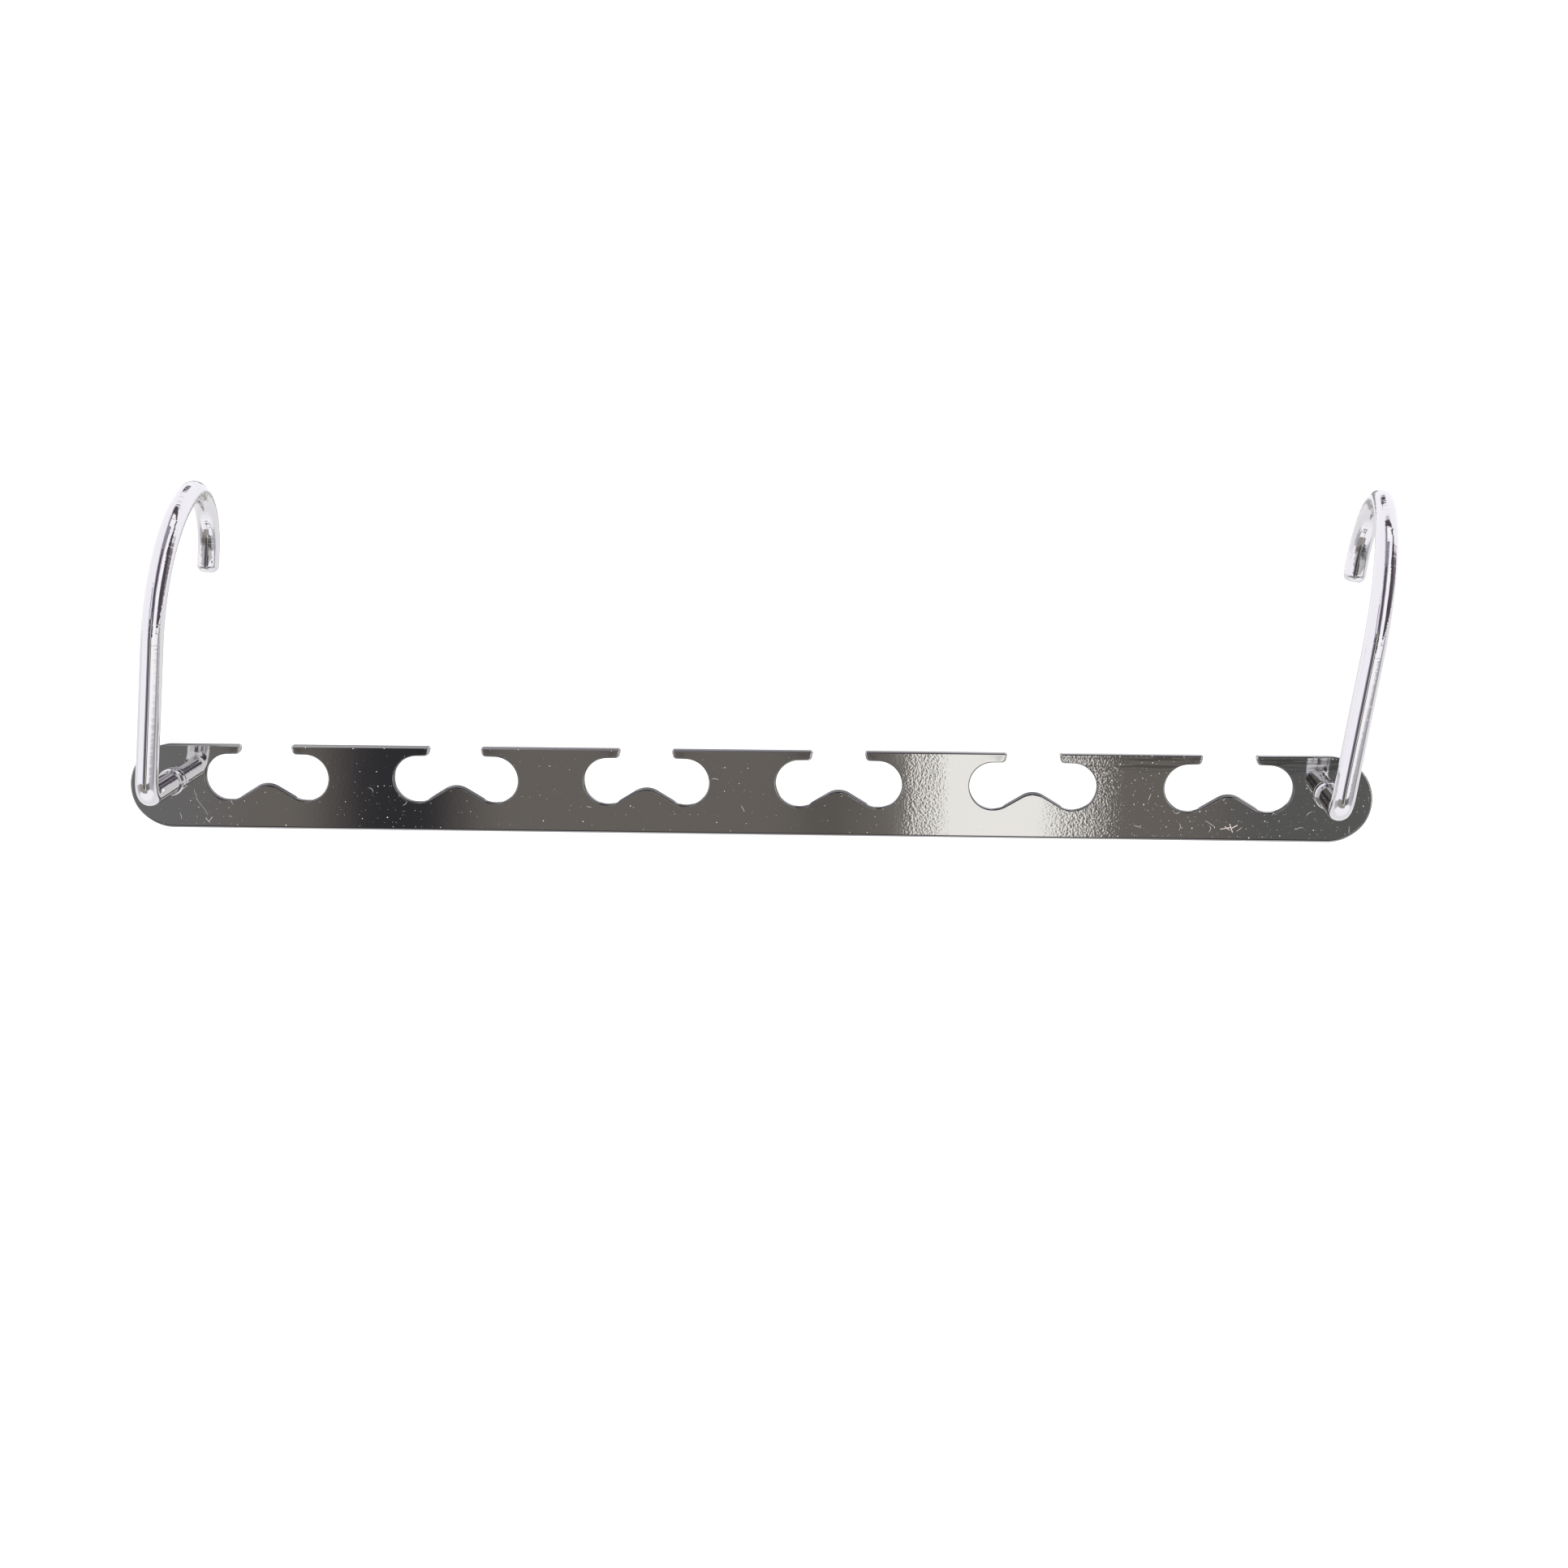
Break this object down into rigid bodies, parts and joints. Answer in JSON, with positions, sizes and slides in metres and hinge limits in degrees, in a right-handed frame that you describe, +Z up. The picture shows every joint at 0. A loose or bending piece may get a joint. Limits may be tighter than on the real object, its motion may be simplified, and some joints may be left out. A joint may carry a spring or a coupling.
{
  "type": "cascading garment hanger bar",
  "caption": "Chromed steel strip with open-topped hanger slots and a wire hook riveted at each end, so that it hangs from a closet rod level or on end.",
  "frame": {"origin": "on the axis of the nominal 32 mm closet rod as it lies in both hooks, midway between the two rivets", "axes": "+X along the bar and the rod, +Z up, -Y towards the side that the hooks' stubs stand out on"},
  "size_m": [0.2676, 0.0444, 0.0743],
  "materials": {
    "chromed_strip": "bright nickel-chrome plate on stamped steel strip, mirror-like with fine pits and a few hair scratches",
    "chromed_wire": "bright nickel-chrome plate on bent steel wire"
  },
  "bodies": {
    "bar": {"slotted_bar": "chromed_strip"},
    "left_hook_body": {"left_hook": "chromed_wire"},
    "right_hook_body": {"right_hook": "chromed_wire"}
  },
  "joints": [
    {"name": "left_hook_pivot", "type": "hinge", "parent": "bar", "child": "left_hook_body", "pos_m": [-0.1231, -0.00147, -0.03948], "axis": [0, 1, 0], "range_deg": [-262, 83.3]},
    {"name": "right_hook_pivot", "type": "hinge", "parent": "bar", "child": "right_hook_body", "pos_m": [0.1231, -0.00147, -0.03948], "axis": [0, 1, 0], "range_deg": [-97, 248.3]}
  ]
}
